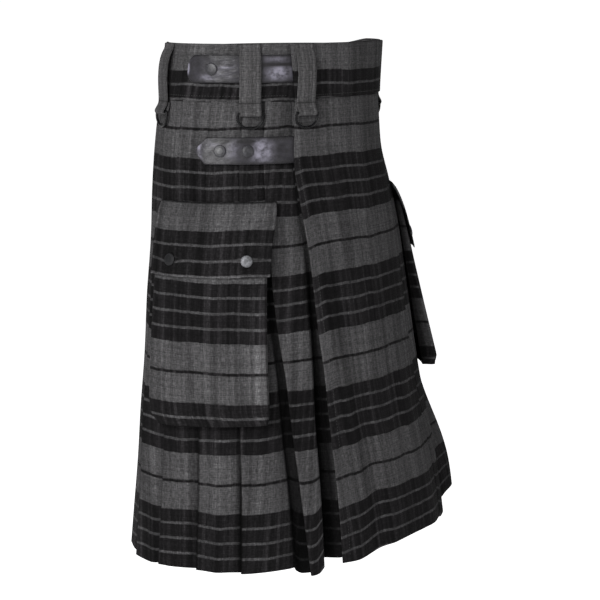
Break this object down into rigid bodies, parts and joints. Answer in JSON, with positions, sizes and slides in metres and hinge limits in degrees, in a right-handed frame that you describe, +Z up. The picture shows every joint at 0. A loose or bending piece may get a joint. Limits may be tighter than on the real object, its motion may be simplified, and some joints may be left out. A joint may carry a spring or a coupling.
{
  "type": "utility kilt",
  "caption": "Pleated wrap kilt in worn form, with plain apron, cargo pockets, leather side straps, and belt loops that carry swinging D-rings.",
  "frame": {"origin": "centre of the waist opening, at half the height of the waistband", "axes": "+Z up along the wearer's body, -Y to the wearer's front, +X to the wearer's left"},
  "size_m": [0.5138, 0.3323, 0.61],
  "materials": {
    "striped_cloth": "matt woven cotton, grey and black stripes",
    "grey_cloth": "matt woven cotton, dark grey",
    "black_leather": "creased semi-gloss leather",
    "black_metal": "black lacquered metal, semi-gloss",
    "snap_metal": "dark gunmetal, satin"
  },
  "bodies": {
    "garment": {"waistband_over_apron": "striped_cloth", "waistband_wrap": "striped_cloth", "waistband_under_apron": "striped_cloth", "over_apron": "striped_cloth", "under_apron": "striped_cloth", "skirt_pleats_right_front": "striped_cloth", "skirt_pleats_right_back": "striped_cloth", "skirt_pleats_left_front": "striped_cloth", "skirt_pleats_left_back": "striped_cloth", "pocket_right": "striped_cloth", "pocket_left": "striped_cloth", "pocket_flap_right": "striped_cloth", "pocket_flap_left": "striped_cloth", "pocket_snap_right_front": "snap_metal", "pocket_snap_right_back": "snap_metal", "pocket_snap_left_front": "snap_metal", "pocket_snap_left_back": "snap_metal", "strap_upper": "black_leather", "strap_lower": "black_leather", "strap_snap_upper": "black_metal", "strap_snap_lower_tip": "black_metal", "strap_snap_lower_inner": "black_metal", "belt_loop_right_front": "grey_cloth", "belt_loop_right_side": "grey_cloth", "belt_loop_right_back": "grey_cloth", "belt_loop_left_side": "grey_cloth", "belt_loop_left_back": "grey_cloth"},
    "ring_right_front_body": {"ring_right_front": "black_metal"},
    "ring_right_side_body": {"ring_right_side": "black_metal"},
    "ring_right_back_body": {"ring_right_back": "black_metal"},
    "ring_left_side_body": {"ring_left_side": "black_metal"},
    "ring_left_back_body": {"ring_left_back": "black_metal"}
  },
  "joints": [
    {"name": "swing_right_front", "type": "hinge", "parent": "garment", "child": "ring_right_front_body", "pos_m": [-0.08136, -0.10548, -0.0481], "axis": [-0.9379, 0.347, 0], "range_deg": [0, 150]},
    {"name": "swing_right_side", "type": "hinge", "parent": "garment", "child": "ring_right_side_body", "pos_m": [-0.13743, -0.06406, -0.0481], "axis": [-0.7229, 0.691, 0], "range_deg": [0, 150]},
    {"name": "swing_right_back", "type": "hinge", "parent": "garment", "child": "ring_right_back_body", "pos_m": [-0.16086, 0.05158, -0.0481], "axis": [0.4589, 0.8885, 0], "range_deg": [0, 150]},
    {"name": "swing_left_side", "type": "hinge", "parent": "garment", "child": "ring_left_side_body", "pos_m": [0.15371, -0.04511, -0.0481], "axis": [-0.5691, -0.8223, 0], "range_deg": [0, 150]},
    {"name": "swing_left_back", "type": "hinge", "parent": "garment", "child": "ring_left_back_body", "pos_m": [0.16086, 0.05158, -0.0481], "axis": [0.4589, -0.8885, 0], "range_deg": [0, 150]}
  ]
}
